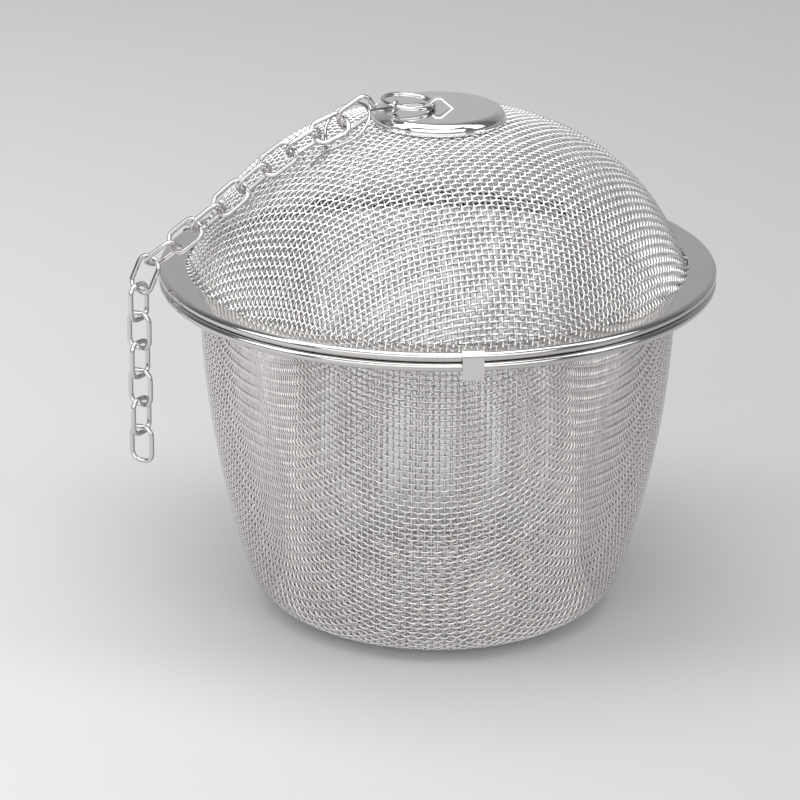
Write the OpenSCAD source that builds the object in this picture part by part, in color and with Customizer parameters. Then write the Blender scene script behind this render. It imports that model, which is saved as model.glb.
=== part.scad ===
// Tea infuser: woven-cloth basket, dome lid, polished cap, split ring, wire hook and link chain.
// Millimetres, +Z up. The origin is the centre of the basket's flat bottom, on the table.
// The wire cloth is modelled as a skin as thick as the weave, with a coarse grid of openings.

/* [Basket] */

// Outer diameter of the basket rim and the lid ring
rim_d = 90; // [84:1:96]
// Height of the basket, from the table to the top of its rim
basket_h = 56.5; // [51:0.5:62]
// Width of the basket's flat edge, from the wall to the rim's outside
basket_flange = 6.4; // [5.8:0.1:7]
// Radius of the gentle curve of the wall, seen from the side
wall_curve = 165; // [145:1:200]
// Radius of the rounded bottom corner
corner_r = 9; // [7:0.5:11]

/* [Lid] */

// Width of the flat lid ring outside the dome
lid_flange = 5.1; // [4.6:0.1:5.6]
// Height of the dome above the middle of the lid ring
dome_h = 24.3; // [22:0.1:26]
// Radius of the nearly flat crown of the dome
dome_flat = 6.7; // [6:0.1:7.4]
// Gap between the lid ring and the basket rim
lid_gap = 0.1; // [0.05:0.05:0.3]

/* [Cloth and sheet] */

// Thickness of the woven wire cloth
cloth_t = 0.7; // [0.6:0.05:0.8]
// Thickness of the folded rim sheet
sheet_t = 0.35; // [0.3:0.05:0.45]
// Room on each side of the cloth inside a rim
cloth_room = 0.05; // [0.02:0.01:0.08]

/* [Cloth openings] */

// Width of the cloth left between two openings
bar_w = 2.4; // [2:0.1:2.8]
// Openings round the wall, the corner and the lower dome
cell_count = 20; // [16:2:24]
// Rows of openings up the wall
wall_rows = 5; // [4:1:6]
// Rows of openings down the dome
dome_rows = 5; // [4:1:6]
// Rings of openings in the bottom
bottom_rings = 2; // [1:1:3]
// Openings in the innermost ring of the bottom
bottom_count = 6; // [5:1:8]

/* [Cap] */

// Diameter of the polished cap
cap_d = 21.2; // [20:0.1:22.4]
// Height of the cap's side
cap_h = 1.8; // [1.6:0.1:2.2]
// Rounding of the cap's shoulder
cap_round = 1.4; // [1:0.1:1.5]
// Sheet thickness of the cap
cap_t = 0.5; // [0.4:0.05:0.6]
// How far the thin lip stands out at the cap's foot
cap_lip = 0.25; // [0.15:0.05:0.4]
// Radius of the disc under the cloth
backing_r = 8.5; // [7.5:0.1:9]
// Radius of the boss that joins the disc to the cap
boss_r = 2.5; // [2:0.1:3]

/* [Ring lug] */

// Width of the bridge between the outsides of its feet
lug_w = 4.9; // [4.6:0.1:5.4]
// Height of the bridge above the cap
lug_h = 1.7; // [1.65:0.05:2]
// Width of the bridge's flat top
lug_crest = 1; // [0.9:0.1:1.4]
// Depth of the bridge's strip
lug_depth = 1.4; // [1:0.1:1.8]
// Thickness of the bridge's strip
lug_t = 0.3; // [0.25:0.01:0.32]

/* [Split ring] */

// Wire of the split ring
ring_wire = 0.75; // [0.65:0.05:0.85]
// Radius of the split ring to the middle of its wire
ring_r = 4.1; // [3.8:0.1:4.5]
// Room under the ring's wire on the cap
ring_room = 0.08; // [0.05:0.01:0.1]
// Room between the ring's wire and the leg of the bridge
bridge_room = 0.06; // [0.05:0.01:0.1]
// Gap where the ring is split
ring_split = 0.3; // [0.2:0.05:0.5]
// Position of the split round the ring, in degrees
split_az = 130; // [100:5:150]

/* [Hook] */

// Wire of the hook
hook_wire = 0.6; // [0.55:0.05:0.7]
// Radius of the hook's loop to the middle of its wire
hook_r = 4; // [3.7:0.1:4.2]
// Rounding of the point of the loop, to the middle of its wire
hook_round = 0.9; // [0.7:0.05:1.2]
// Room round the split ring's wire in the hook's eye
eye_room = 0.06; // [0.05:0.01:0.1]
// Position of the hook's eye on the split ring, in degrees
hook_ring_az = 240; // [234:1:246]
// Position of the hook's loop round the dome, in degrees
hook_az = 208.6; // [207:0.2:211]
// How far the middle of the loop lies beyond the cap's edge
hook_out = 5.7; // [5.5:0.1:6.5]
// Height of the middle of the loop above the middle of the cloth
hook_lift = 2.78; // [2.75:0.01:3.2]
// Lean, slope and turn of the loop as it lies on the chain
hook_pose = [33, -26, -12];
// Tail's end to the left of the loop's middle, in the loop's plane
tail_left = 5.4; // [5:0.1:5.8]
// Tail's end before the loop's middle, in the loop's plane
tail_fore = 9.6; // [9:0.1:10.2]
// Tail's end above the loop's plane
tail_up = 3.1; // [2.8:0.1:3.4]

/* [Chain] */

// Outer length of a link
link_l = 6.6; // [6.4:0.1:7]
// Outer width of a link
link_w = 4.6; // [4.4:0.1:4.8]
// Wire of a link
link_wire = 0.8; // [0.7:0.05:0.85]
// Rounding of a link's corners, to the middle of its wire
link_round = 1.45; // [1.2:0.05:1.55]
// Lean of the links to either side
link_roll = 48; // [46:1:52]
// Play between one link and the next
link_play = 0.18; // [0.15:0.01:0.25]
// Play of the first link on the hook's loop
first_play = 0.35; // [0.25:0.05:0.5]
// Lean of the first link from square to the wire of the hook's loop
first_lean = 6; // [4:1:8]
// Height of the links above what they lie on
chain_gap = 0.85; // [0.8:0.05:1]
// Extra room where the chain turns over the rim
chain_turn = 1.2; // [1:0.05:1.5]
// Position of the first link on the hook's loop, in degrees
chain_loop_at = 32; // [30:1:34]
// Position of the hanging chain round the rim, in degrees
chain_az = 194; // [191:0.5:196]
// How far the chain swings round the dome on its way down, in degrees
chain_swing = 13; // [11:0.5:14]

/* [Clips] */

// Width of a rim clip
clip_w = 3.3; // [3:0.1:4.4]
// Thickness of a rim clip
clip_t = 0.4; // [0.3:0.05:0.5]
// Length of the clip's foot on the lid ring
clip_foot = 1.5; // [1.2:0.1:2]
// How far a clip reaches below the basket rim
clip_drop = 1; // [0.8:0.1:1.8]
// Room between a clip and the rims
clip_room = 0.15; // [0.1:0.01:0.3]
// Inner radius of the clip's bend
clip_bend = 0.6; // [0.5:0.05:0.65]
// Position of the front clip round the rim, in degrees
clip_az = 277; // [270:1:284]

/* [Hidden] */

$fn = 48;

// Colours of the steels
cloth_colour = [0.72, 0.72, 0.72];
satin_colour = [0.66, 0.66, 0.67];
polished_colour = [0.82, 0.82, 0.83];
wire_colour = [0.76, 0.76, 0.76];

// A little more than nothing, so that cuts pass clean through
eps = 0.01;
link_count = 16;
clip_step = 120;
deg = PI / 180;

// Rims: a channel folded round the cloth
rim_r = rim_d / 2;
rim_h = cloth_t + 2 * (sheet_t + cloth_room);
rim_bead = rim_h / 2;
rim_mid = basket_h - rim_bead;
lid_z = basket_h + lid_gap;
lid_mid = lid_z + rim_bead;
lid_top = lid_z + rim_h;
rim_skirt = 0.25;

// Basket wall: an arc that is upright at the rim, tangent to the corner's arc
wall_r = rim_r - basket_flange;
wall_cx = wall_r - wall_curve;
corner_cx = wall_cx + sqrt(pow(wall_curve - corner_r, 2) - pow(rim_mid - corner_r, 2));
corner_sin = (rim_mid - corner_r) / (wall_curve - corner_r);

// Dome: one arc round the crown, down to the lid ring
dome_b = rim_r - lid_flange;
dome_k = (pow(dome_b - dome_flat, 2) - pow(dome_h, 2)) / (2 * dome_h);
dome_r = dome_h + dome_k;
dome_zc = lid_mid - dome_k;
dome_out = dome_r + cloth_t / 2;
dome_in = dome_r - cloth_t / 2;

// Point in a section at radius r and angle a about c
function arc_rz(c, r, a) = [c[0] + r * cos(a), c[1] + r * sin(a)];

// Openings: rows up the wall, rings in the bottom and rows down the dome from the cap to the ring
cut = 2;
wall_row = (rim_mid - cloth_t / 2 - corner_r) / wall_rows;
corner_from = -75;
corner_to = -15;
bottom_ring = (corner_cx - bar_w) / bottom_rings;
dome_from = asin((cap_d / 2 + cap_lip - dome_flat) / dome_r);
dome_to = acos((lid_mid + cloth_t / 2 - dome_zc) / dome_r);
dome_row = (dome_to - dome_from) / dome_rows;
dome_bar = bar_w / dome_r / deg;

// Cap on the crown, with its disc and boss under the cloth
cap_r = cap_d / 2;
seat_gap = 0.08;
cap_z = dome_zc + sqrt(pow(dome_out, 2) - pow(cap_r - cap_t - dome_flat, 2)) + seat_gap;
cap_top = cap_z + cap_h;
lip_h = 0.35;
backing_t = 0.5;
backing_top = dome_zc + sqrt(pow(dome_in, 2) - pow(backing_r - dome_flat, 2)) - seat_gap;
boss_room = 0.2;

// Bridge and ring: the ring turns about its own wire, close to the bridge's left leg
leg_slope = atan2(lug_h, (lug_w - lug_crest) / 2);
ring_sag = ring_r - sqrt(pow(ring_r, 2) - pow(lug_depth / 2, 2));
leg_gap = lug_t + bridge_room + ring_sag + ring_wire / 2;
axis_z = cap_top + ring_room + ring_wire / 2;
axis_x = (axis_z - cap_top) / tan(leg_slope) + leg_gap / sin(leg_slope) - lug_w / 2;

split_half = ring_split / ring_r / deg / 2;

// The ring lies with one end on the cap, propped up by the hook's eye under its wire
ring_tilt = asin((eye_room + hook_wire) / (ring_r * (1 - cos(hook_ring_az))));

// Point on the split ring's wire at an angle round it, and the way out from the ring there
function ring_out(a) = [cos(a) * cos(ring_tilt), sin(a), -cos(a) * sin(ring_tilt)];
function ring_mid() = [axis_x - ring_r * cos(ring_tilt), 0, axis_z + ring_r * sin(ring_tilt)];
function ring_pt(a) = ring_mid() + ring_r * ring_out(a);

// Hook: an eye round the ring's wire, and a loop placed over the dome
eye_r = ring_wire / 2 + eye_room + hook_wire / 2;
eye_pt = ring_pt(hook_ring_az);
eye_out = eye_pt + eye_r * ring_out(hook_ring_az);
shank_at = 10;
tail_fit = 0.94;
hook_tail = [-tail_left, -tail_fore, tail_up];
function dome_pt(down, az, lift) =
    let (r = dome_flat + (dome_r + lift) * sin(down))
    [r * cos(az), r * sin(az), dome_zc + (dome_r + lift) * cos(down)];
hook_down = asin((cap_r + hook_out - dome_flat) / (dome_r + hook_lift));
hook_pt = dome_pt(hook_down, hook_az, hook_lift);

// A point in the loop's plane, turned and moved to its place
function turn_x(p, a) = [p[0], p[1] * cos(a) - p[2] * sin(a), p[1] * sin(a) + p[2] * cos(a)];
function turn_y(p, a) = [p[0] * cos(a) + p[2] * sin(a), p[1], p[2] * cos(a) - p[0] * sin(a)];
function turn_z(p, a) = [p[0] * cos(a) - p[1] * sin(a), p[0] * sin(a) + p[1] * cos(a), p[2]];
function hook_turn(p) = turn_z(turn_y(turn_x(p, hook_pose[0]), hook_pose[1]), hook_pose[2]);
function hook_place(p) = hook_pt + hook_turn(p);

// Link: sizes to the middle of the wire, and how far each end laps its neighbour
link_len = link_l - link_wire;
link_half = (link_w - link_wire) / 2;
link_lap = link_wire + link_play;
first_lap = hook_wire / 2 + link_wire / 2 + first_play;
chain_half = link_half * sin(link_roll) + link_wire / 2;

// Path of the chain: from the cap's edge round the dome, straight to the rim, round it and down
path_r = dome_r + cloth_t / 2 + chain_half + chain_gap;
turn_r = rim_bead + chain_half + chain_gap + chain_turn;
turn_cr = rim_r - rim_bead;
span_r = turn_cr - dome_flat;
span_z = lid_mid - dome_zc;
span = norm([span_r, span_z]);
leave = atan2(span_z, span_r) + acos((path_r - turn_r) / span);
meet = acos((cap_r - dome_flat) / path_r);
s_dome = path_r * (meet - leave) * deg;
s_line = s_dome + sqrt(pow(span, 2) - pow(path_r - turn_r, 2));
s_turn = s_line + turn_r * leave * deg;

function path_rz(s) =
    s < s_dome ? arc_rz([dome_flat, dome_zc], path_r, meet - s / path_r / deg) :
    s < s_line ? arc_rz([dome_flat, dome_zc], path_r, leave) + (s - s_dome) * [sin(leave), -cos(leave)] :
    s < s_turn ? arc_rz([turn_cr, lid_mid], turn_r, leave - (s - s_line) / turn_r / deg) :
    [turn_cr + turn_r, lid_mid - (s - s_turn)];
function path_az(s) = chain_az + (s < s_line ? chain_swing * cos(90 * s / s_line) : 0);
function path(s) =
    let (p = path_rz(s), a = path_az(s))
    [p[0] * cos(a), p[0] * sin(a), p[1]];

// Station on the path that lies a given distance from a point, found by halving
halvings = 40;
reach = 2;
function seek(from, lo, hi, len, n) =
    n == 0 ? (lo + hi) / 2 :
    norm(path((lo + hi) / 2) - from) < len ?
        seek(from, (lo + hi) / 2, hi, len, n - 1) :
        seek(from, lo, (lo + hi) / 2, len, n - 1);
function stations(found, n) =
    n == 0 ? found :
    let (s = found[len(found) - 1], pitch = link_len - link_lap)
    stations(concat(found, [seek(path(s), s, s + reach * pitch, pitch, halvings)]), n - 1);
chain_from = hook_place(hook_r * [cos(chain_loop_at), sin(chain_loop_at), 0]);
chain_axis = hook_turn([-sin(chain_loop_at), cos(chain_loop_at), 0]);
first_pitch = link_len - first_lap;
first_s = seek(chain_from, 0, reach * first_pitch, first_pitch, halvings);
joints = concat([chain_from], [for (s = stations([first_s], link_count - 1)) path(s)]);

// Run of each link, and the way up from the dome, carried along the chain without twist
runs = [for (i = [0 : link_count - 1]) (joints[i + 1] - joints[i]) / norm(joints[i + 1] - joints[i])];
function square_to(v, run) = (v - (v * run) * run) / norm(v - (v * run) * run);
function carry(found) =
    len(found) == link_count ? found :
    carry(concat(found, [square_to(found[len(found) - 1], runs[len(found)])]));
ups = carry([square_to([0, 0, 1], runs[0])]);

// Heading, slope and roll of link i, with the rim's direction where it hangs upright
function heading(run) = norm([run[0], run[1]]) < eps ? chain_az : atan2(run[1], run[0]);
function slope(run) = asin(run[2]);
function lean(i) = i % 2 == 0 ? link_roll : -link_roll;
function roll(i) =
    let (h = heading(runs[i]), s = slope(runs[i]))
    let (side = [-sin(h), cos(h), 0], top = [-sin(s) * cos(h), -sin(s) * sin(h), cos(s)])
    i == 0 ? atan2(cross(chain_axis, runs[0]) * top, cross(chain_axis, runs[0]) * side) + first_lean :
    atan2(-ups[i] * side, ups[i] * top) + lean(i);

// Filled outline of the basket, t inside its outer face
module basket_outline(t) {
    join_z = corner_r - (corner_r - t) * corner_sin;
    translate([0, t]) {
        square([corner_cx, rim_mid - t]);
    }
    intersection() {
        translate([corner_cx, corner_r]) {
            circle(r = corner_r - t);
        }
        square([rim_r, rim_mid]);
    }
    intersection() {
        translate([wall_cx, rim_mid]) {
            circle(r = wall_curve - t);
        }
        translate([0, join_z]) {
            square([rim_r, rim_mid - join_z]);
        }
    }
}

// Section of a rim: cloth-wide channel, open inwards, with a round outer edge
module rim_section(inner, z) {
    difference() {
        union() {
            translate([inner, z]) {
                square([rim_r - rim_bead - inner, rim_h]);
            }
            translate([rim_r - rim_bead, z + rim_bead]) {
                circle(r = rim_bead);
            }
        }
        translate([inner - eps, z + sheet_t]) {
            square([rim_r - rim_bead - inner + eps, rim_h - 2 * sheet_t]);
        }
        translate([rim_r - rim_bead, z + rim_bead]) {
            circle(r = rim_bead - sheet_t);
        }
    }
}

// Edge of the cloth that lies inside a rim
module cloth_edge(inner, mid) {
    translate([inner, mid - cloth_t / 2]) {
        square([rim_r - rim_bead - inner, cloth_t]);
    }
}

// Ring of equal openings through a band of the section, with bars of one width at radius r
module openings(count, r) {
    gap = 360 / count - bar_w / r / deg;
    for (k = [0 : count - 1]) {
        rotate([0, 0, k * 360 / count - gap / 2]) {
            rotate_extrude(angle = gap) {
                children();
            }
        }
    }
}

// Band across an arc about c, from angle a to angle b, between two radii
module arc_band(c, a, b, inner, outer) {
    polygon([arc_rz(c, inner, a), arc_rz(c, outer, a), arc_rz(c, outer, b), arc_rz(c, inner, b)]);
}

module basket_openings() {
    for (row = [0 : wall_rows - 1]) {
        z = corner_r + row * wall_row;
        openings(cell_count, wall_r) {
            translate([corner_cx, z]) {
                square([rim_r - corner_cx, wall_row - bar_w]);
            }
        }
    }
    openings(cell_count, corner_cx + corner_r * cos(45)) {
        arc_band([corner_cx, corner_r], corner_from, corner_to, corner_r / 2, cut * corner_r);
    }
    for (ring = [0 : bottom_rings - 1]) {
        r = bar_w + ring * bottom_ring;
        openings(bottom_count * (ring + 1), r + bottom_ring / 2) {
            translate([r, -cut]) {
                square([bottom_ring - bar_w, 2 * cut]);
            }
        }
    }
}

module basket_mesh() {
    color(cloth_colour) {
        difference() {
            rotate_extrude() {
                difference() {
                    basket_outline(0);
                    basket_outline(cloth_t);
                }
                cloth_edge(wall_r - cloth_t, rim_mid);
            }
            basket_openings();
        }
    }
}

module basket_rim() {
    color(satin_colour) {
        rotate_extrude() {
            rim_section(wall_r + rim_skirt, basket_h - rim_h);
        }
    }
}

// Filled outline of the dome, at a radius of its arc
module dome_outline(r) {
    intersection() {
        translate([dome_flat, dome_zc]) {
            circle(r = r);
        }
        translate([dome_flat, lid_mid]) {
            square([rim_r, dome_h + cloth_t]);
        }
    }
    translate([0, lid_mid]) {
        square([dome_flat + eps, dome_zc + r - lid_mid]);
    }
}

module lid_openings() {
    for (row = [0 : dome_rows - 1]) {
        a = 90 - dome_from - row * dome_row - dome_bar;
        b = 90 - dome_from - (row + 1) * dome_row;
        mid_r = dome_flat + dome_r * cos((a + b) / 2);
        openings(mid_r < cap_d ? cell_count / 2 : cell_count, mid_r) {
            arc_band([dome_flat, dome_zc], a, b, dome_in - cut, dome_out + cut);
        }
    }
}

module lid_mesh() {
    color(cloth_colour) {
        difference() {
            rotate_extrude() {
                difference() {
                    dome_outline(dome_out);
                    dome_outline(dome_in);
                    translate([0, lid_mid]) {
                        square([boss_r + boss_room, rim_d]);
                    }
                }
                cloth_edge(dome_b - cloth_t, lid_mid);
            }
            lid_openings();
        }
    }
}

module lid_rim() {
    color(satin_colour) {
        rotate_extrude() {
            rim_section(dome_b + cloth_t / 2 + rim_skirt, lid_z);
        }
    }
}

// Filled outline of the cap, t inside its outer face
module cap_outline(t) {
    square([cap_r - cap_round, cap_h - t]);
    square([cap_r - t, cap_h - cap_round]);
    translate([cap_r - cap_round, cap_h - cap_round]) {
        circle(r = cap_round - t);
    }
}

module cap_disc() {
    color(polished_colour) {
        translate([0, 0, cap_z]) {
            rotate_extrude() {
                difference() {
                    intersection() {
                        cap_outline(0);
                        square([cap_r, cap_h]);
                    }
                    cap_outline(cap_t);
                }
                translate([cap_r - cap_t, 0]) {
                    square([cap_t + cap_lip, lip_h]);
                }
            }
        }
    }
}

module cap_backing() {
    color(satin_colour) {
        translate([0, 0, backing_top - backing_t]) {
            cylinder(r = backing_r, h = backing_t);
            cylinder(r = boss_r, h = cap_top - cap_t - backing_top + backing_t);
        }
    }
}

// Outline of the bridge from the side, t inside its outer face
module bridge_outline(t) {
    foot = lug_w / 2 - t / sin(leg_slope);
    crest = lug_crest / 2 - t * tan(leg_slope / 2);
    polygon([[-foot, 0], [foot, 0], [crest, lug_h - t], [-crest, lug_h - t]]);
}

module ring_lug() {
    color(polished_colour) {
        translate([0, 0, cap_top]) {
            rotate([90, 0, 0]) {
                linear_extrude(height = lug_depth, center = true) {
                    difference() {
                        bridge_outline(0);
                        bridge_outline(lug_t);
                    }
                }
            }
        }
    }
}

module split_ring() {
    color(polished_colour) {
        translate(ring_mid()) {
            rotate([0, ring_tilt, 0]) {
                rotate([0, 0, split_az + split_half]) {
                    rotate_extrude(angle = 360 - 2 * split_half) {
                        translate([ring_r, 0]) {
                            circle(d = ring_wire);
                        }
                    }
                }
            }
        }
    }
}

// Straight wire between two points
module wire(a, b, d) {
    run = b - a;
    translate(a) {
        rotate([0, acos(run[2] / norm(run)), atan2(run[1], run[0])]) {
            cylinder(d = d, h = norm(run));
        }
    }
}

// Part of a wire ring, from angle a through the given sweep
module bend(r, a, sweep) {
    rotate([0, 0, a]) {
        rotate_extrude(angle = sweep) {
            translate([r, 0]) {
                circle(d = hook_wire);
            }
        }
    }
}

// Teardrop loop in the XY plane, with a straight tail from its point
module hook_loop() {
    inset = hook_round - hook_r;
    point = (inset - hook_round * cos(45)) * [1, 1, 0];
    bend(hook_r, -90, 270);
    translate([inset, inset, 0]) {
        bend(hook_round, 180, 90);
    }
    wire([-hook_r, inset, 0], [-hook_r, 0, 0], hook_wire);
    wire([inset, -hook_r, 0], [0, -hook_r, 0], hook_wire);
    wire(point, hook_tail, tail_fit * hook_wire);
}

module drip_hook() {
    joint = hook_r * [cos(shank_at), sin(shank_at), 0];
    color(wire_colour) {
        translate(eye_pt) {
            rotate([0, ring_tilt, 0]) {
                rotate([90, 0, hook_ring_az]) {
                    rotate_extrude() {
                        translate([eye_r, 0]) {
                            circle(d = hook_wire);
                        }
                    }
                }
            }
        }
        wire(eye_out, hook_place(joint), tail_fit * hook_wire);
        translate(hook_pt) {
            rotate(hook_pose) {
                hook_loop();
            }
        }
    }
}

// One link along +X, from lap behind its pivot, flat in the XY plane
module link(lap) {
    straight = link_len - 2 * link_round;
    cross = 2 * (link_half - link_round);
    for (side = [-1, 1]) {
        translate([link_round - lap, side * link_half, 0]) {
            rotate([0, 90, 0]) {
                cylinder(d = link_wire, h = straight);
            }
        }
    }
    for (end = [-lap, link_len - lap]) {
        translate([end, cross / 2, 0]) {
            rotate([90, 0, 0]) {
                cylinder(d = link_wire, h = cross);
            }
        }
    }
    for (corner = [[1, 1, 0], [-1, 1, 90], [-1, -1, 180], [1, -1, 270]]) {
        translate([link_len / 2 - lap + corner[0] * straight / 2, corner[1] * cross / 2, 0]) {
            rotate([0, 0, corner[2]]) {
                rotate_extrude(angle = 90) {
                    translate([link_round, 0]) {
                        circle(d = link_wire);
                    }
                }
            }
        }
    }
}

// Link i of the chain in its place, leaning to one side or the other
module chain_link(i) {
    color(wire_colour) {
        translate(joints[i]) {
            rotate([0, -slope(runs[i]), heading(runs[i])]) {
                rotate([roll(i), 0, 0]) {
                    link(i == 0 ? first_lap : link_lap);
                }
            }
        }
    }
}

module chain_link_01() {
    chain_link(0);
}

module chain_link_02() {
    chain_link(1);
}

module chain_link_03() {
    chain_link(2);
}

module chain_link_04() {
    chain_link(3);
}

module chain_link_05() {
    chain_link(4);
}

module chain_link_06() {
    chain_link(5);
}

module chain_link_07() {
    chain_link(6);
}

module chain_link_08() {
    chain_link(7);
}

module chain_link_09() {
    chain_link(8);
}

module chain_link_10() {
    chain_link(9);
}

module chain_link_11() {
    chain_link(10);
}

module chain_link_12() {
    chain_link(11);
}

module chain_link_13() {
    chain_link(12);
}

module chain_link_14() {
    chain_link(13);
}

module chain_link_15() {
    chain_link(14);
}

module chain_link_16() {
    chain_link(15);
}

// Side view of a clip: a foot on the lid ring, a bend and a leg outside both rims
module clip_side() {
    foot_z = lid_top + seat_gap;
    leg_r = rim_r + clip_room;
    bend_r = leg_r - clip_bend;
    bend_z = foot_z - clip_bend;
    leg_z = basket_h - rim_h - clip_drop;
    translate([bend_r - clip_foot, foot_z]) {
        square([clip_foot, clip_t]);
    }
    translate([leg_r, leg_z]) {
        square([clip_t, bend_z - leg_z]);
    }
    intersection() {
        translate([bend_r, bend_z]) {
            difference() {
                circle(r = clip_bend + clip_t);
                circle(r = clip_bend);
            }
        }
        translate([bend_r, bend_z]) {
            square([clip_bend + clip_t, clip_bend + clip_t]);
        }
    }
}

module clip(az) {
    color(satin_colour) {
        rotate([0, 0, az]) {
            rotate([90, 0, 0]) {
                linear_extrude(height = clip_w, center = true) {
                    clip_side();
                }
            }
        }
    }
}

module clip_front() {
    clip(clip_az);
}

module clip_left() {
    clip(clip_az - clip_step);
}

module clip_right() {
    clip(clip_az + clip_step);
}

basket_mesh();
basket_rim();
lid_mesh();
lid_rim();
cap_disc();
cap_backing();
ring_lug();
split_ring();
drip_hook();
chain_link_01();
chain_link_02();
chain_link_03();
chain_link_04();
chain_link_05();
chain_link_06();
chain_link_07();
chain_link_08();
chain_link_09();
chain_link_10();
chain_link_11();
chain_link_12();
chain_link_13();
chain_link_14();
chain_link_15();
chain_link_16();
clip_front();
clip_left();
clip_right();
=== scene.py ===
"""Looks of a tea infuser: a basket and a dome of woven wire, with rims, cap, ring, hook and chain."""

import logging
import math
from dataclasses import dataclass
from enum import Enum
from typing import Any, Iterable

import bpy
import numpy as np
from mathutils import Matrix, Vector


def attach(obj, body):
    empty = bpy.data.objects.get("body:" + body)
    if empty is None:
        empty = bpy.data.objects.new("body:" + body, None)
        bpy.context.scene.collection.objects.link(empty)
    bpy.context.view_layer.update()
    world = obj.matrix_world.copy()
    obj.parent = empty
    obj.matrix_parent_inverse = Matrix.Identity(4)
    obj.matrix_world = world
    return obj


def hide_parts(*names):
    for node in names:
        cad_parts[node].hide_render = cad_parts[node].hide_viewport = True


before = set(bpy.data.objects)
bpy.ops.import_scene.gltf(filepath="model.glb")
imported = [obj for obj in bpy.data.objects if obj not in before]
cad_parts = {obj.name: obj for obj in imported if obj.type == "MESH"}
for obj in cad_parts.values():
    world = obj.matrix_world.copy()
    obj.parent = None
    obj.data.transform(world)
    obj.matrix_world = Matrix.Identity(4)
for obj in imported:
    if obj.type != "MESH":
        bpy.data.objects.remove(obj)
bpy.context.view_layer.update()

MM = 0.001
TINY = 1e-9
LOG = logging.getLogger("infuser")


class Slot(Enum):
    """Material slots of the record."""

    CLOTH = "cloth"
    SATIN = "satin"
    POLISHED = "polished"
    WIRE = "wire"


class Family(Enum):
    """The two sets of wires in a plain weave."""

    WARP = 0
    WEFT = 1


class Term:
    """A shader value that can be used in plain arithmetic."""

    def __init__(self, graph: "Graph", socket: bpy.types.NodeSocket) -> None:
        """Keep the node graph and the socket that carries the value."""
        self.graph = graph
        self.socket = socket

    def _math(self, operation: str, *values: Any) -> "Term":
        """Add a Math node to the graph.

        Args:
            operation: Name of the Math node's operation.
            values: Its inputs, in order.

        Returns:
            The node's result.
        """
        sockets = dict(enumerate(values))
        return self.graph.term("ShaderNodeMath", {"operation": operation}, sockets)

    def __add__(self, other: Any) -> "Term":
        """Sum with a number or another term."""
        return self._math("ADD", self, other)

    def __radd__(self, other: Any) -> "Term":
        """Sum with a number on the left."""
        return self._math("ADD", other, self)

    def __sub__(self, other: Any) -> "Term":
        """Difference from a number or another term."""
        return self._math("SUBTRACT", self, other)

    def __rsub__(self, other: Any) -> "Term":
        """Difference from a number on the left."""
        return self._math("SUBTRACT", other, self)

    def __mul__(self, other: Any) -> "Term":
        """Product with a number or another term."""
        return self._math("MULTIPLY", self, other)

    def __rmul__(self, other: Any) -> "Term":
        """Product with a number on the left."""
        return self._math("MULTIPLY", other, self)

    def clamp(self, low: float, high: float) -> "Term":
        """Keep between two values."""
        return self.graph.term("ShaderNodeClamp", None, {"Value": self, "Min": low, "Max": high})

    def smooth(self, low: float, high: float) -> "Term":
        """Rise smoothly from 0 at low to 1 at high."""
        settings = {"interpolation_type": "SMOOTHSTEP"}
        return self.graph.term("ShaderNodeMapRange", settings, {"Value": self, 1: low, 2: high})

    def between(self, low: float, high: float) -> "Term":
        """Run from low at 0 to high at 1."""
        return low + (high - low) * self


class Graph:
    """Node graph of one material with a Principled shader."""

    def __init__(self, name: str) -> None:
        """Start an empty material of that name."""
        self.material = bpy.data.materials.new(name)
        self.material.use_nodes = True
        self.tree = self.material.node_tree
        self.tree.nodes.clear()

    def node(
        self, kind: str, settings: dict[str, Any] | None = None, sockets: dict[Any, Any] | None = None
    ) -> bpy.types.Node:
        """Add a node, with its settings first and then its sockets.

        Args:
            kind: The node's type.
            settings: Properties of the node itself.
            sockets: Values, terms or sockets for its inputs, by name or number.

        Returns:
            The new node.
        """
        made = self.tree.nodes.new(kind)
        for key, value in (settings or {}).items():
            setattr(made, key, value)
        for key, value in (sockets or {}).items():
            if isinstance(value, Term):
                value = value.socket
            if isinstance(value, bpy.types.NodeSocket):
                self.tree.links.new(value, made.inputs[key])
            else:
                made.inputs[key].default_value = value
        return made

    def term(
        self,
        kind: str,
        settings: dict[str, Any] | None = None,
        sockets: dict[Any, Any] | None = None,
        output: int | str = 0,
    ) -> Term:
        """Add a node and take one of its outputs as a term.

        Args:
            kind: The node's type.
            settings: Properties of the node itself.
            sockets: Values, terms or sockets for its inputs.
            output: Name or number of the output.

        Returns:
            The output as a term.
        """
        return Term(self, self.node(kind, settings, sockets).outputs[output])

    def place(self) -> Term:
        """Object coordinates, in metres."""
        return self.term("ShaderNodeTexCoord", output="Object")

    def noise(self, where: Term, scale: float, detail: float = 2.0) -> Term:
        """Noise from 0 to 1 at a place, with its scale per metre."""
        return self.term("ShaderNodeTexNoise", None, {"Vector": where, "Scale": scale, "Detail": detail})

    def grey(self, value: Term, tint: tuple[float, float, float]) -> Term:
        """A colour of one tint, as bright as a value."""
        sockets = {0: tint, "Scale": value}
        return self.term("ShaderNodeVectorMath", {"operation": "SCALE"}, sockets)

    def bump(self, height: Term, strength: float, distance: float) -> Term:
        """Normal of a surface that has a height, in metres at full height."""
        sockets = {"Height": height, "Strength": strength, "Distance": distance}
        return self.term("ShaderNodeBump", None, sockets)

    def close(self, sockets: dict[str, Any]) -> bpy.types.Material:
        """Add the Principled shader and the output.

        Args:
            sockets: Inputs of the shader.

        Returns:
            The finished material.
        """
        shader = self.node("ShaderNodeBsdfPrincipled", None, sockets)
        self.node("ShaderNodeOutputMaterial", None, {"Surface": shader.outputs[0]})
        return self.material


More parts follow.
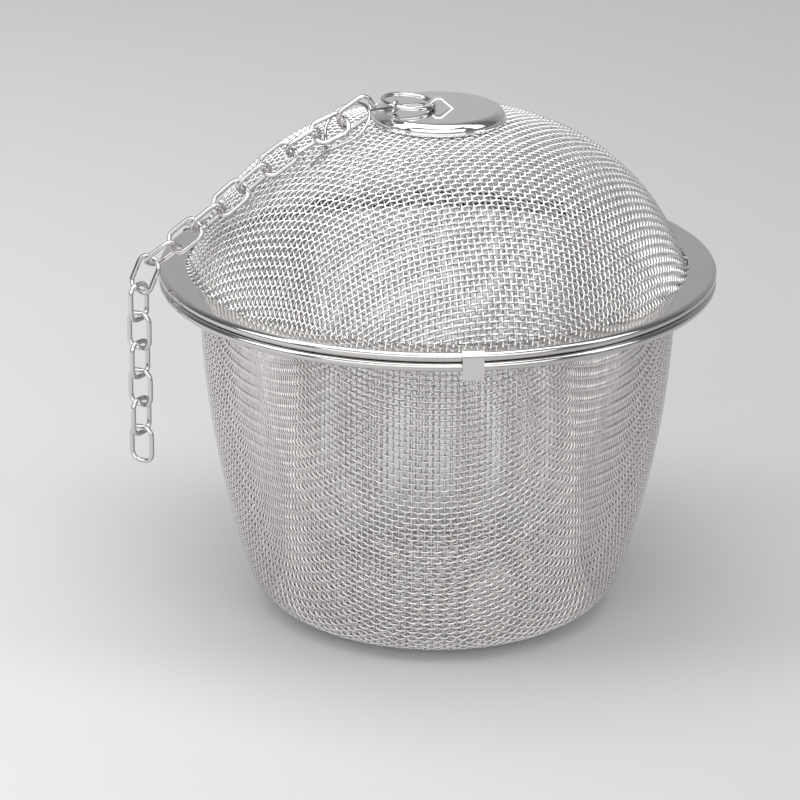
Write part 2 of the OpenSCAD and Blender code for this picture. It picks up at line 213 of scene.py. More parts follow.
@dataclass(frozen=True)
class DrawnWire:
    """Drawn stainless wire, a little different from wire to wire."""

    name: str
    tint: tuple[float, float, float]
    roughness: float
    patch: float = 90.0
    patch_tone: tuple[float, float] = (0.94, 1.06)
    draw_lines: float = 2600.0
    line_detail: float = 1.0
    line_dulling: tuple[float, float] = (0.8, 1.2)

    def material(self) -> bpy.types.Material:
        """Material with a tone for each wire and faint draw marks."""
        graph = Graph(self.name)
        here = graph.place()
        patches = graph.noise(here, self.patch)
        marks = graph.noise(here, self.draw_lines, self.line_detail)
        tone = graph.term("ShaderNodeAttribute", {"attribute_name": Strands.TONE}, output="Fac")
        return graph.close({
            "Base Color": graph.grey(tone * patches.between(*self.patch_tone), self.tint),
            "Metallic": 1.0,
            "Roughness": self.roughness * marks.between(*self.line_dulling),
        })


@dataclass(frozen=True)
class SatinSheet:
    """Satin or brushed sheet steel with fine grain and soft clouds."""

    name: str
    tint: tuple[float, float, float]
    roughness: float
    grain: float = 900.0
    grain_detail: float = 4.0
    grain_tone: float = 0.05
    grain_dulling: tuple[float, float] = (0.75, 1.05)
    grain_height: float = 0.1
    grain_strength: float = 0.05
    cloud: float = 60.0
    cloud_tone: tuple[float, float] = (0.93, 1.03)
    cloud_dulling: float = 0.2

    def material(self) -> bpy.types.Material:
        """Material whose grain and clouds change its tone and its gloss."""
        graph = Graph(self.name)
        here = graph.place()
        grain = graph.noise(here, self.grain, self.grain_detail)
        cloud = graph.noise(here, self.cloud)
        bright = cloud.between(*self.cloud_tone) + self.grain_tone * grain
        dulling = grain.between(*self.grain_dulling) + self.cloud_dulling * cloud
        return graph.close({
            "Base Color": graph.grey(bright, self.tint),
            "Metallic": 1.0,
            "Roughness": self.roughness * dulling,
            "Normal": graph.bump(grain, self.grain_strength, self.grain_height * MM),
        })


@dataclass(frozen=True)
class MirrorSteel:
    """Polished steel with faint smears."""

    name: str
    tint: tuple[float, float, float]
    roughness: float
    smear: float = 140.0
    smear_detail: float = 4.0
    smear_edge: tuple[float, float] = (0.4, 0.75)
    smear_tone: tuple[float, float] = (0.96, 1.02)
    smear_dulling: tuple[float, float] = (1.0, 2.5)

    def material(self) -> bpy.types.Material:
        """Material whose gloss is dulled a little in patches."""
        graph = Graph(self.name)
        smear = graph.noise(graph.place(), self.smear, self.smear_detail)
        dull = smear.smooth(*self.smear_edge)
        return graph.close({
            "Base Color": graph.grey(smear.between(*self.smear_tone), self.tint),
            "Metallic": 1.0,
            "Roughness": self.roughness * dull.between(*self.smear_dulling),
        })


# The lid's wire is the basket's wire painted paler: painted light that stands for the overhead light on
# the upward-facing dome.
BASKET_WIRE = DrawnWire("basket_wire", tint=(0.74, 0.725, 0.715), roughness=0.14)
PAINTED_LIGHT_LID_WIRE = DrawnWire("painted_light_lid_wire", tint=(0.86, 0.85, 0.845), roughness=0.14)
SATIN_RING = SatinSheet("satin_sheet", tint=(0.6, 0.59, 0.58), roughness=0.12)
BRUSHED_STRIP = SatinSheet("brushed_strip", tint=(0.9, 0.89, 0.88), roughness=0.4)
CAP_MIRROR = MirrorSteel("mirror_steel", tint=(0.82, 0.82, 0.82), roughness=0.04)
BRIGHT_WIRE = MirrorSteel("bright_wire", tint=(0.64, 0.63, 0.625), roughness=0.05)
CLIP_STEEL = MirrorSteel("clip_steel", tint=(0.74, 0.73, 0.72), roughness=0.12)


class WireTree:
    """Geometry Nodes tree that draws round wire along loose edges."""

    def __init__(self) -> None:
        """Build the tree once, with named inputs."""
        self.tree = bpy.data.node_groups.new("drawn_wire", "GeometryNodeTree")
        face = self.tree.interface
        face.new_socket("Geometry", in_out="INPUT", socket_type="NodeSocketGeometry")
        self.inputs = {
            name: face.new_socket(name, in_out="INPUT", socket_type=kind).identifier
            for name, kind in (
                ("Wire radius", "NodeSocketFloat"),
                ("Sides", "NodeSocketInt"),
                ("Finish", "NodeSocketMaterial"),
            )
        }
        face.new_socket("Geometry", in_out="OUTPUT", socket_type="NodeSocketGeometry")
        given = self._node("NodeGroupInput")
        circle = self._node(
            "GeometryNodeCurvePrimitiveCircle",
            {"Resolution": given.outputs["Sides"], "Radius": given.outputs["Wire radius"]},
        )
        line = self._node("GeometryNodeMeshToCurve", {"Mesh": given.outputs["Geometry"]})
        tube = self._node(
            "GeometryNodeCurveToMesh",
            {"Curve": line.outputs[0], "Profile Curve": circle.outputs[0], "Fill Caps": True},
        )
        smooth = self._node("GeometryNodeSetShadeSmooth", {"Geometry": tube.outputs[0]})
        real = self._node("GeometryNodeRealizeInstances", {"Geometry": smooth.outputs[0]})
        dressed = self._node(
            "GeometryNodeSetMaterial",
            {"Geometry": real.outputs[0], "Material": given.outputs["Finish"]},
        )
        self._node("NodeGroupOutput", {"Geometry": dressed.outputs[0]})

    def _node(self, kind: str, sockets: dict[str, Any] | None = None) -> bpy.types.Node:
        """Add a node to the tree.

        Args:
            kind: The node's type.
            sockets: Values or sockets for its inputs, by name.

        Returns:
            The new node.
        """
        made = self.tree.nodes.new(kind)
        for key, value in (sockets or {}).items():
            socket = next(s for s in made.inputs if s.name == key)
            if isinstance(value, bpy.types.NodeSocket):
                self.tree.links.new(value, socket)
            else:
                socket.default_value = value
        return made

    def draw(
        self, name: str, strands: "Strands", radius: float, sides: int, finish: bpy.types.Material
    ) -> bpy.types.Object:
        """Draw wires along strands and keep them as a plain mesh.

        Args:
            name: Name of the piece.
            strands: The wires' middle lines, in mm.
            radius: Half the wire's thickness, in mm.
            sides: Flats round the wire.
            finish: Its material.

        Returns:
            The piece.
        """
        piece = bpy.data.objects.new(name, strands.mesh(name))
        bpy.context.scene.collection.objects.link(piece)
        modifier = piece.modifiers.new("wire", "NODES")
        modifier.node_group = self.tree
        modifier[self.inputs["Wire radius"]] = radius * MM
        modifier[self.inputs["Sides"]] = sides
        modifier[self.inputs["Finish"]] = finish
        ready = piece.evaluated_get(bpy.context.evaluated_depsgraph_get())
        solid = bpy.data.meshes.new_from_object(ready)
        piece.modifiers.clear()
        lines = piece.data
        piece.data = solid
        bpy.data.meshes.remove(lines)
        solid.name = name
        return piece


class Strands:
    """Middle lines of wires, in mm, each with its own tone."""

    TONE = "wire_tone"

    def __init__(self) -> None:
        """Start with no wires."""
        self.lines: list[np.ndarray] = []
        self.tones: list[float] = []

    def add(self, points: np.ndarray, tone: float) -> None:
        """Add one wire by its points and its tone."""
        self.lines.append(points)
        self.tones.append(tone)

    def mesh(self, name: str) -> bpy.types.Mesh:
        """Loose edges along every wire.

        Args:
            name: Name of the mesh.

        Returns:
            A mesh in metres, with the tone of each wire on its points.
        """
        edges: list[np.ndarray] = []
        start = 0
        for points in self.lines:
            run = start + np.arange(len(points))
            edges.append(np.stack([run[:-1], run[1:]], 1))
            start += len(points)
        made = bpy.data.meshes.new(name + "_lines")
        made.from_pydata((np.concatenate(self.lines) * MM).tolist(), np.concatenate(edges).tolist(), [])
        tones = np.repeat(self.tones, [len(points) for points in self.lines]).astype(np.float32)
        made.attributes.new(self.TONE, "FLOAT", "POINT").data.foreach_set("value", tones)
        return made


class HalfSection:
    """Half section of a round skin, from its middle out to its edge, in mm."""

    def __init__(self, points: Iterable[tuple[float, float]]) -> None:
        """Measure the run along points given as radius and height."""
        self.points = np.array(list(points), float)
        steps = np.linalg.norm(np.diff(self.points, axis=0), axis=1)
        self.run = np.concatenate([[0.0], np.cumsum(steps)])
        self.slope = np.gradient(self.points, self.run, axis=0)

    def end(self) -> float:
        """Length of the whole section."""
        return float(self.run[-1])

    def run_at_radius(self, radius: float) -> float:
        """Run at which the skin first reaches a radius."""
        return float(np.interp(radius, np.maximum.accumulate(self.points[:, 0]), self.run))

    def place(self, run: np.ndarray, angle: np.ndarray) -> np.ndarray:
        """Points of the skin at a run and an angle round it."""
        radius, height = (np.interp(run, self.run, self.points[:, k]) for k in (0, 1))
        return np.stack([radius * np.cos(angle), radius * np.sin(angle), height], -1)

    def axes(self, run: np.ndarray, angle: np.ndarray) -> tuple[np.ndarray, ...]:
        """Frame of the skin at a run and an angle round it.

        Args:
            run: Distance along the section.
            angle: Angle round the axis, in radians.

        Returns:
            The way out along the section, the way round, the normal and the radius.
        """
        out, up = (np.interp(run, self.run, self.slope[:, k]) for k in (0, 1))
        cos, sin = np.cos(angle), np.sin(angle)
        along = np.stack([out * cos, out * sin, up], -1)
        around = np.stack([-sin, cos, np.zeros_like(sin)], -1)
        normal = np.stack([-up * cos, -up * sin, out], -1)
        return along, around, normal, np.interp(run, self.run, self.points[:, 0])


@dataclass
class WireNet:
    """Square cloth pressed to a round skin: wires keep their pitch, and cells shear.

    Attributes:
        section: Half section of the skin, in mm.
        pitch: Distance from one wire to the next.
        count: Wires on each side of the middle one.
        turn: Turn of the cloth about the axis, in degrees.
        tightest: Shortest diagonal of a sheared cell.
        sweeps: Rounds of settling.
        stiffness: Pull that straightens a bent wire.
        step: Share of its pull that a crossing follows in one round.
        least_radius: Radius that stands for smaller ones where an angle is worked out.
        least_spread: Least spread of two wires, as a sine, for which a move is worked out.
        longest_move: Longest move of one correction, as a share of the pitch.
        least_reach: Least square of a crossing's distance from its two neighbours' middle.
        aim_rounds: Corrections that bring a first guess onto the skin.
        pitch_rounds: Corrections that bring a crossing to its pitch.
    """

    section: HalfSection
    pitch: float
    count: int
    turn: float
    tightest: float = 0.45
    sweeps: int = 400
    stiffness: float = 0.08
    step: float = 0.12
    least_radius: float = 0.3
    least_spread: float = 0.3
    longest_move: float = 0.2
    least_reach: float = 0.05
    aim_rounds: int = 6
    pitch_rounds: int = 4

    def _newton(
        self, run: np.ndarray, angle: np.ndarray, first: np.ndarray, second: np.ndarray
    ) -> tuple[np.ndarray, np.ndarray]:
        """Move crossings on the skin to one pitch from two known neighbours.

        Args:
            run: Runs of the crossings.
            angle: Angles of the crossings.
            first: Known neighbours on one wire.
            second: Known neighbours on the other wire.

        Returns:
            The better runs and angles.
        """
        along, around, _, radius = self.section.axes(run, angle)
        radius = np.maximum(radius, self.least_radius)
        here = self.section.place(run, angle)
        rows = []
        for known in (first, second):
            gap = here - known
            length = np.linalg.norm(gap, axis=-1)
            shares = ((gap * way).sum(-1) / length for way in (along, around))
            rows.append((*shares, length - self.pitch))
        (a, b, e), (c, d, f) = rows
        whole = a * d - b * c
        sound = np.abs(whole) > self.least_spread
        whole = np.where(sound, whole, 1.0)
        limit = self.longest_move * self.pitch
        move = np.clip(np.where(sound, (b * f - d * e) / whole, 0.0), -limit, limit)
        swing = np.clip(np.where(sound, (c * e - a * f) / whole, 0.0), -limit, limit)
        return np.clip(run + move, 0, self.section.end()), angle + swing / radius

    def _march(self) -> tuple[np.ndarray, np.ndarray]:
        """Lay a quarter of the net, each crossing a pitch from two before it.

        Returns:
            Run and angle of each crossing.
        """
        size = self.count + 1
        run, angle = np.zeros((size, size)), np.zeros((size, size))
        straight = np.minimum(self.pitch * np.arange(size), self.section.end())
        run[:, 0] = run[0, :] = straight
        angle[0, :] = math.pi / 2
        for rank in range(2, 2 * size - 1):
            i = np.arange(max(1, rank - self.count), min(self.count, rank - 1) + 1)
            j = rank - i
            first = self.section.place(run[i - 1, j], angle[i - 1, j])
            second = self.section.place(run[i, j - 1], angle[i, j - 1])
            before = self.section.place(run[i - 1, j - 1], angle[i - 1, j - 1])
            middle = (first + second) / 2
            ahead = middle - before
            ahead /= np.linalg.norm(ahead, axis=-1, keepdims=True) + TINY
            half = np.linalg.norm(first - second, axis=-1) / 2
            reach = np.sqrt(np.maximum(self.pitch**2 - half**2, self.least_reach))
            aim = middle + ahead * reach[:, None]
            u = (run[i - 1, j] + run[i, j - 1]) / 2
            v = (angle[i - 1, j] + angle[i, j - 1]) / 2
            for _ in range(self.aim_rounds):
                along, around, _, radius = self.section.axes(u, v)
                miss = aim - self.section.place(u, v)
                u = np.clip(u + (miss * along).sum(-1), 0, self.section.end())
                v = v + (miss * around).sum(-1) / np.maximum(radius, self.least_radius)
            for _ in range(self.pitch_rounds):
                u, v = self._newton(u, v, first, second)
            run[i, j], angle[i, j] = u, np.clip(v, 0, math.pi / 2)
        return run, angle

    @staticmethod
    def _mirrored(run: np.ndarray, angle: np.ndarray, depth: int) -> tuple[np.ndarray, np.ndarray]:
        """Extend a quarter of the net by mirror images across its two straight wires.

        Args:
            run: Runs of the quarter.
            angle: Angles of the quarter.
            depth: How many wires to add on the far side of each straight wire.

        Returns:
            Runs and angles of the wider net.
        """
        back = slice(depth, 0, -1)
        run = np.concatenate([run[back], run], 0)
        angle = np.concatenate([math.pi - angle[back], angle], 0)
        return np.concatenate([run[:, back], run], 1), np.concatenate([-angle[:, back], angle], 1)

    def _forces(self, points: np.ndarray) -> np.ndarray:
        """Pull of the wires on each crossing: pitch, least diagonal and stiffness.

        Args:
            points: Crossings of the net.

        Returns:
            A force on each crossing.
        """
        pull = np.zeros_like(points)
        every, low, high = slice(None), slice(None, -1), slice(1, None)
        pairs = (
            ((low, every), (high, every), self.pitch, False),
            ((every, low), (every, high), self.pitch, False),
            ((low, high), (high, low), self.tightest, True),
            ((low, low), (high, high), self.tightest, True),
        )
        for one, two, rest, push_only in pairs:
            gap = points[two] - points[one]
            length = np.linalg.norm(gap, axis=-1, keepdims=True) + TINY
            stretch = length - rest
            if push_only:
                stretch = np.minimum(stretch, 0.0)
            force = stretch * gap / length
            pull[one] += force
            pull[two] -= force
        first, centre, last = slice(None, -2), slice(1, -1), slice(2, None)
        for axis in (0, 1):
            a, b, c = ((s, every) if axis == 0 else (every, s) for s in (first, centre, last))
            bend = self.stiffness * (points[a] - 2 * points[b] + points[c])
            pull[b] += 2 * bend
            pull[a] -= bend
            pull[c] -= bend
        return pull

    def crossings(self) -> tuple[np.ndarray, np.ndarray]:
        """Settle the net.

        Returns:
            Run and angle of every crossing of the whole net.
        """
        run, angle = self._march()
        for _ in range(self.sweeps):
            wide_run, wide_angle = self._mirrored(run, angle, 1)
            pull = self._forces(self.section.place(wide_run, wide_angle))[1:, 1:]
            along, around, _, radius = self.section.axes(run, angle)
            run = np.clip(run + self.step * (pull * along).sum(-1), 0, self.section.end())
            angle = angle + self.step * (pull * around).sum(-1) / np.maximum(radius, self.least_radius)
            angle[:, 0], angle[0, :], run[0, 0] = 0.0, math.pi / 2, 0.0
            angle = np.clip(angle, 0, math.pi / 2)
        run, angle = self._mirrored(run, angle, self.count)
        return run, angle + math.radians(self.turn)


@dataclass
class WovenSkin:
    """Plain woven wire cloth on a round skin, over and under at each crossing.

    Attributes:
        net: The crossings of its wires.
        edge: Radius at which the wires end, in mm.
        wire: Thickness of the wire, in mm.
        seed: Start of the random tones.
        hole: Radius of a hole round the axis, in mm.
        crest: Height of a crest, in halves of the wire's thickness.
        crest_share: Half the length of a crest, as a share of the pitch.
        shortest: A wire with no more crossings than this is left out.
        sides: Flats round the wire.
        tones: Darkest and palest wire.
    """

    net: WireNet
    edge: float
    wire: float
    seed: int
    hole: float = 0.0
    crest: float = 0.8
    crest_share: float = 0.25
    shortest: int = 2
    sides: int = 5
    tones: tuple[float, float] = (0.9, 1.08)

    def strands(self, family: Family, run: np.ndarray, angle: np.ndarray) -> list[np.ndarray]:
        """Middle lines of one family's wires.

        Args:
            family: Which of the two sets of wires.
            run: Run of each crossing.
            angle: Angle of each crossing.

        Returns:
            The points of each wire.
        """
        section = self.net.section
        points = section.place(run, angle)
        normal = section.axes(run, angle)[2]
        inside = run < section.run_at_radius(self.edge)
        clear = np.hypot(points[..., 0], points[..., 1]) > self.hole
        size = len(run)
        odd = (np.add.outer(np.arange(size), np.arange(size)) % 2) * 2.0 - 1.0
        lift = odd[..., None] * normal * self.wire / 2
        if family is Family.WEFT:
            points, lift, inside, clear = (np.swapaxes(x, 0, 1) for x in (points, -lift, inside, clear))
        middle = size // 2
        found = []
        for number in range(size):
            within = inside[number]
            if not within[middle]:
                continue
            low = middle - int(np.argmin(within[middle::-1])) + 1
            high = middle + int(np.argmin(within[middle:]))
            outside = clear[number]
            changes = [k for k in range(low + 1, high) if outside[k] != outside[k - 1]]
            for start, stop in zip([low, *changes], [*changes, high]):
                if stop - start > self.shortest and outside[start]:
                    found.append(self._waves(points[number, start:stop], lift[number, start:stop]))
        return found

    def _waves(self, points: np.ndarray, lift: np.ndarray) -> np.ndarray:
        """Line of a wire that rests over and under its crossings.

        Args:
            points: Crossings along the wire.
            lift: How far it stands off the skin at each.

        Returns:
            Two points on each crossing's crest.
        """
        share = self.crest_share
        near = points[:-1] * (1 - share) + points[1:] * share + self.crest * lift[:-1]
        far = points[:-1] * share + points[1:] * (1 - share) + self.crest * lift[1:]
        return np.stack([near, far], 1).reshape(-1, 3)

    def pieces(
        self, names: dict[Family, list[str]], tree: WireTree, finish: bpy.types.Material
    ) -> list[bpy.types.Object]:
        """Draw the cloth in a few pieces.

        Args:
            names: Names of the pieces of each family, in order across the cloth.
            tree: The tree that draws wire.
            finish: The wire's material.

        Returns:
            The pieces.
        """
        random = np.random.default_rng(self.seed)
        run, angle = self.net.crossings()
        made = []
        for family, parts in names.items():
            wires = self.strands(family, run, angle)
            tones = random.uniform(*self.tones, len(wires))
            total = np.cumsum([len(points) for points in wires])
            share = np.minimum((total - 1) * len(parts) // total[-1], len(parts) - 1)
            for index, name in enumerate(parts):
                strands = Strands()
                for points, tone, part in zip(wires, tones, share):
                    if part == index:
                        strands.add(points, float(tone))
                made.append(tree.draw(name, strands, self.wire / 2, self.sides, finish))
        return made


def arc(
    centre: tuple[float, float], radius: float, start: float, stop: float, count: int
) -> list[tuple[float, float]]:
    """Points on an arc.

    Args:
        centre: Middle of the arc.
        radius: Its radius.
        start: First angle, in radians.
        stop: Last angle, in radians.
        count: Number of points.

    Returns:
        The points.
    """
    angles = np.linspace(start, stop, count)
    return [(centre[0] + radius * math.cos(a), centre[1] + radius * math.sin(a)) for a in angles]


def line(start: tuple[float, float], stop: tuple[float, float], count: int) -> list[tuple[float, float]]:
    """Points on a straight line, without its first."""
    shares = np.linspace(0, 1, count)[1:]
    return [tuple(np.add(start, s * np.subtract(stop, start))) for s in shares]


@dataclass
class Basket:
    """Tapered basket of wire cloth with a folded rim, sizes in mm."""

    rim_r: float = 45.0
    rim_mid: float = 55.75
    wall_r: float = 38.6
    wall_curve: float = 165.0
    corner_r: float = 9.0
    cloth_t: float = 0.7
    bend_r: float = 0.8
    edge: float = 41.0
    overrun: float = 20.0
    pitch: float = 1.02
    wire: float = 0.33
    turn: float = -1.0
    net_count: int = 100
    seed: int = 7
    bottom_points: int = 60
    corner_points: int = 30
    wall_points: int = 60
    bend_points: int = 8
    flange_points: int = 40

    def section(self) -> HalfSection:
        """Middle of the cloth: flat bottom, round corner, long curved wall and flange."""
        inset = self.cloth_t / 2
        wall_x = self.wall_r - self.wall_curve
        rise = self.rim_mid - self.corner_r
        corner_x = wall_x + math.sqrt((self.wall_curve - self.corner_r) ** 2 - rise**2)
        tilt = math.asin(rise / (self.wall_curve - self.corner_r))
        points = [(0.0, inset), *line((0.0, inset), (corner_x, inset), self.bottom_points)]
        corner = (corner_x, self.corner_r)
        points += arc(corner, self.corner_r - inset, -math.pi / 2, -tilt, self.corner_points)[1:]
        top = -math.asin(self.bend_r / self.wall_curve)
        points += arc((wall_x, self.rim_mid), self.wall_curve - inset, -tilt, top, self.wall_points)[1:]
        radius, height = points[-1]
        bend = (radius + self.bend_r, height)
        points += arc(bend, self.bend_r, math.pi, math.pi / 2, self.bend_points)[1:]
        points += line(points[-1], (self.rim_r + self.overrun, points[-1][1]), self.flange_points)
        return HalfSection(points)

    def build(
        self, tree: WireTree, cloth: bpy.types.Material, satin: bpy.types.Material
    ) -> list[bpy.types.Object]:
        """Weave the basket and dress its rim.

        Args:
            tree: The tree that draws wire.
            cloth: Finish of the woven wire.
            satin: Finish of the rim.

        Returns:
            The basket's pieces.
        """
        net = WireNet(self.section(), self.pitch, self.net_count, self.turn)
        names = {
            Family.WARP: ["basket_warp_left", "basket_warp_middle", "basket_warp_right"],
            Family.WEFT: ["basket_weft_front", "basket_weft_middle", "basket_weft_back"],
        }
        woven = WovenSkin(net, self.edge, self.wire, self.seed).pieces(names, tree, cloth)
        for piece in woven:
            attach(piece, "basket")
            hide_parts("basket_mesh")
        return woven + [dress("basket_rim", satin)]


@dataclass
class Lid:
    """Dome of wire cloth in a flat satin ring, sizes in mm."""

    rim_r: float = 45.0
    lid_mid: float = 57.35
    dome_b: float = 39.9
    dome_h: float = 24.3
    dome_flat: float = 6.7
    bend_r: float = 0.8
    edge: float = 42.5
    overrun: float = 20.0
    hole: float = 2.8
    pitch: float = 0.96
    wire: float = 0.33
    turn: float = 12.0
    net_count: int = 66
    seed: int = 11
    crown_points: int = 20
    dome_points: int = 80
    bend_points: int = 8
    flange_points: int = 40

    def section(self) -> HalfSection:
        """Middle of the cloth: flat crown, one round shoulder and flange."""
        reach = self.dome_b - self.dome_flat
        drop = (reach**2 - self.dome_h**2) / (2 * self.dome_h)
        radius = self.dome_h + drop
        centre = (self.dome_flat, self.lid_mid - drop)
        foot = math.asin((drop + self.bend_r) / radius)
        top = centre[1] + radius
        points = [(0.0, top), *line((0.0, top), (self.dome_flat, top), self.crown_points)]
        points += arc(centre, radius, math.pi / 2, foot, self.dome_points)[1:]
        foot_r, foot_z = points[-1]
        bend = (foot_r + self.bend_r, foot_z)
        points += arc(bend, self.bend_r, math.pi, 1.5 * math.pi, self.bend_points)[1:]
        points += line(points[-1], (self.rim_r + self.overrun, points[-1][1]), self.flange_points)
        return HalfSection(points)

    def build(
        self, tree: WireTree, cloth: bpy.types.Material, satin: bpy.types.Material
    ) -> list[bpy.types.Object]:
        """Weave the dome and dress its ring.

        Args:
            tree: The tree that draws wire.
            cloth: Finish of the woven wire.
            satin: Finish of the ring.

        Returns:
            The lid's pieces.
        """
        net = WireNet(self.section(), self.pitch, self.net_count, self.turn)
        names = {Family.WARP: ["lid_warp"], Family.WEFT: ["lid_weft"]}
        woven = WovenSkin(net, self.edge, self.wire, self.seed, self.hole).pieces(names, tree, cloth)
        for piece in woven:
            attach(piece, "lid")
            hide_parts("lid_mesh")
        return woven + [dress("lid_rim", satin)]


def dress(node: str, finish: bpy.types.Material) -> bpy.types.Object:
    """Give a CAD node a finish.

    Args:
        node: Name of the node.
        finish: Its material.

    Returns:
        The node's object.
    """
    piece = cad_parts[node]
    piece.data.materials.clear()
    piece.data.materials.append(finish)
    return piece


@dataclass
class Crown:
    """Polished cap on the dome, with the bridge and the split ring on it."""

    cap: str = "cap_disc"
    lug: str = "ring_lug"
    ring: str = "split_ring"
    backing: str = "cap_backing"

    def build(
        self,
        mirror: bpy.types.Material,
        bright: bpy.types.Material,
        brushed: bpy.types.Material,
        satin: bpy.types.Material,
    ) -> list[bpy.types.Object]:
        """Dress the crown.

        Args:
            mirror: Finish of the polished cap.
            bright: Finish of the ring's wire.
            brushed: Finish of the lug.
            satin: Finish of the disc under the cloth.

        Returns:
            The crown's pieces.
        """
        lug = dress(self.lug, brushed)
        ring = dress(self.ring, bright)
        cap = dress(self.cap, mirror)
        return [cap, lug, ring, dress(self.backing, satin)]


@dataclass
class Chain:
    """Hook of bent wire and the chain of links that hangs on it."""

    hook: str = "drip_hook"
    link: str = "chain_link_"

    def build(self, bright: bpy.types.Material) -> list[bpy.types.Object]:
        """Dress the hook and every link, and return them."""
        links = sorted(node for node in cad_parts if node.startswith(self.link))
        return [dress(node, bright) for node in [self.hook, *links]]


@dataclass
class Clips:
    """Bent strips on the lid's ring that reach over the basket's edge."""

    places: tuple[str, ...] = ("front", "left", "right")

    def build(self, finish: bpy.types.Material) -> list[bpy.types.Object]:
        """Dress the clips and return them."""
        return [dress(f"clip_{place}", finish) for place in self.places]


@dataclass(frozen=True)
class Softbox:
    """Soft rectangular light, sizes in metres, power in watts per square metre of one glow."""

    name: str
    place: tuple[float, float, float]
    size: tuple[float, float]
    glow: float
    power: float = 4.0

    def build(self, aim: Vector) -> None:
        """Set the light up, aimed at a point, with its glow in mirrors and unseen itself."""
        lamp = bpy.data.lights.new(self.name, "AREA")
        lamp.shape = "RECTANGLE"
        lamp.size, lamp.size_y = self.size
        lamp.energy = self.power * self.glow * self.size[0] * self.size[1]
        made = bpy.data.objects.new(self.name, lamp)
        made.location = self.place
        made.visible_camera = False
        made.rotation_mode = "QUATERNION"
        made.rotation_quaternion = (aim - Vector(self.place)).to_track_quat("-Z", "Y")
        bpy.context.scene.collection.objects.link(made)


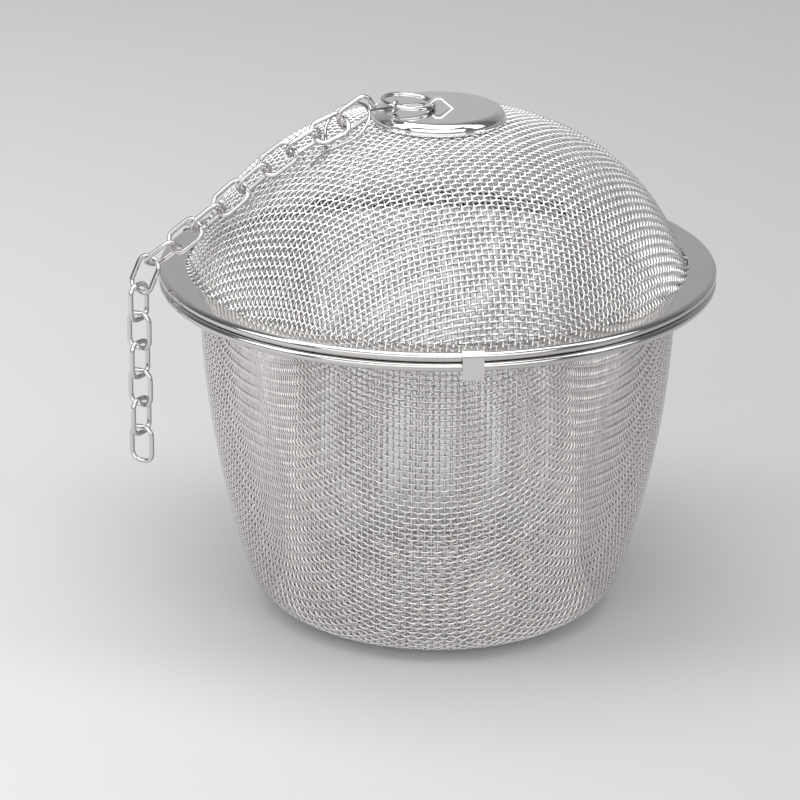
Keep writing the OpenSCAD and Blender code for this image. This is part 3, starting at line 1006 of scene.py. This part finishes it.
@dataclass
class Studio:
    """Pale floor and sweep with painted light, soft lights and the camera, sizes in metres."""

    floor_tone: float = 0.565
    floor_tint: tuple[float, float, float] = (1.0, 0.99, 1.0)
    floor_roughness: float = 0.9
    floor_gloss: float = 0.1
    cloud_scale: float = 1.5
    cloud_tone: float = 0.02
    # Painted light on the floor: the fades to the right and to the back and the paler far backdrop stand
    # for the lamps' light falling off.
    painted_side_falloff: float = -0.7
    side_reach: float = 0.2
    side_lean: tuple[float, float] = (1.1, 1.8)
    painted_depth_falloff: float = -0.12
    depth_reach: tuple[float, float] = (-0.2, 0.5)
    painted_far_light: float = 0.35
    far_reach: tuple[float, float] = (0.6, 1.6)
    half_width: float = 3.0
    front: float = -3.0
    back: float = 1.7
    sweep: float = 0.6
    sweep_points: int = 24
    height: float = 2.6
    world_tone: float = 0.16
    elevation: float = 20.28
    distance: float = 0.6
    aim_height: float = 0.0353
    photo_px: float = 800.0
    focal_px: float = 3665.0
    offset_px: tuple[float, float] = (36.4, 7.3)
    roll: float = 0.43
    sensor: float = 36.0
    clip: tuple[float, float] = (0.01, 20.0)
    lights: tuple[Softbox, ...] = (
        Softbox("overhead", (-0.05, -0.1, 0.95), (1.1, 0.9), 2.2),
        Softbox("front", (0.0, -2.4, 1.15), (5.4, 1.85), 1.25),
        Softbox("left", (-0.85, -0.25, 0.65), (0.5, 0.8), 1.7),
        Softbox("right", (0.85, -0.2, 0.65), (0.4, 0.8), 1.7),
    )

    def _stage(self, name: str, corners: list[Any], faces: list[Any], finish: bpy.types.Material) -> None:
        """Add a smooth sheet to the stage.

        Args:
            name: Name of the sheet.
            corners: Its points.
            faces: Its faces.
            finish: Its material.
        """
        made = bpy.data.meshes.new(name)
        made.from_pydata(corners, [], faces)
        made.shade_smooth()
        made.materials.append(finish)
        sheet = bpy.data.objects.new(name, made)
        bpy.context.scene.collection.objects.link(sheet)

    def floor(self) -> None:
        """Pale floor with painted light: its colour fades to the right and the back as light falls off,
        and it sweeps up into a backdrop painted paler.
        """
        curve = arc((self.back - self.sweep, self.sweep), self.sweep, -math.pi / 2, 0, self.sweep_points)
        side = [(self.front, 0.0), *curve, (self.back, self.height)]
        corners = [(x, y, z) for y, z in side for x in (-self.half_width, self.half_width)]
        faces = [(2 * k, 2 * k + 1, 2 * k + 3, 2 * k + 2) for k in range(len(side) - 1)]
        graph = Graph("studio_paper")
        where = graph.place()
        split = graph.node("ShaderNodeSeparateXYZ", None, {0: where})
        across, deep = (Term(graph, split.outputs[k]) for k in (0, 1))
        depth = deep.clamp(*self.depth_reach)
        lean = self.side_lean[0] - self.side_lean[1] * depth
        # Painted light: the tone falls to the right (more so at the front) and to the back, and rises
        # again on the far backdrop.
        fade = self.painted_side_falloff * across.clamp(-self.side_reach, self.side_reach) * lean
        fade = fade + self.painted_depth_falloff * depth
        fade = fade + self.painted_far_light * (deep.clamp(*self.far_reach) - self.far_reach[0])
        cloud = graph.noise(where, self.cloud_scale)
        tone = self.floor_tone + fade + self.cloud_tone * cloud
        finish = graph.close({
            "Base Color": graph.grey(tone, self.floor_tint),
            "Roughness": self.floor_roughness,
            "Specular IOR Level": self.floor_gloss,
        })
        self._stage("studio_floor", corners, faces, finish)

    def world(self) -> None:
        """Even grey light from all round."""
        world = bpy.data.worlds.new("studio_world")
        world.use_nodes = True
        tone = self.world_tone
        world.node_tree.nodes["Background"].inputs["Color"].default_value = (tone, tone, tone, 1.0)
        bpy.context.scene.world = world

    def camera(self) -> None:
        """Camera at the photograph's angle, with its framing and slight roll."""
        rise = math.radians(self.elevation)
        aim = Vector((0, 0, self.aim_height))
        place = aim + self.distance * Vector((0, -math.cos(rise), math.sin(rise)))
        ahead = (aim - place).normalized()
        right = ahead.cross(Vector((0, 0, 1))).normalized()
        up = right.cross(ahead)
        tip = math.radians(self.roll)
        right, up = right * math.cos(tip) + up * math.sin(tip), up * math.cos(tip) - right * math.sin(tip)
        focal = self.focal_px / self.photo_px
        aside, above = (px / self.photo_px for px in self.offset_px)
        ahead = ahead - right * aside / focal - up * above / focal
        ahead.normalize()
        right = (right - ahead * right.dot(ahead)).normalized()
        up = right.cross(ahead)
        lens = bpy.data.cameras.new("camera")
        lens.sensor_width = self.sensor
        lens.lens = focal * self.sensor
        lens.clip_start, lens.clip_end = self.clip
        made = bpy.data.objects.new("camera", lens)
        turn = Matrix((right, up, -ahead)).transposed().to_4x4()
        made.matrix_world = Matrix.Translation(place) @ turn
        bpy.context.scene.collection.objects.link(made)
        bpy.context.scene.camera = made

    def build(self) -> None:
        """Set up floor, lights, world, camera and plain view settings."""
        self.floor()
        for light in self.lights:
            light.build(Vector((0, 0, self.aim_height)))
        self.world()
        self.camera()
        bpy.context.scene.view_settings.view_transform = "Standard"


def main() -> None:
    """Build the infuser piece by piece, then its studio."""
    logging.basicConfig(level=logging.INFO, format="%(name)s: %(message)s")
    tree = WireTree()
    basket_wire, painted_light_lid_wire = BASKET_WIRE.material(), PAINTED_LIGHT_LID_WIRE.material()
    satin, brushed = SATIN_RING.material(), BRUSHED_STRIP.material()
    mirror, bright, clip = CAP_MIRROR.material(), BRIGHT_WIRE.material(), CLIP_STEEL.material()
    pieces = Basket().build(tree, basket_wire, satin) + Lid().build(tree, painted_light_lid_wire, satin)
    pieces += Crown().build(mirror, bright, brushed, satin) + Chain().build(bright) + Clips().build(clip)
    for piece in pieces:
        LOG.info("%s: %d faces", piece.name, len(piece.data.polygons))
    Studio().build()


if __name__ == "__main__":
    main()
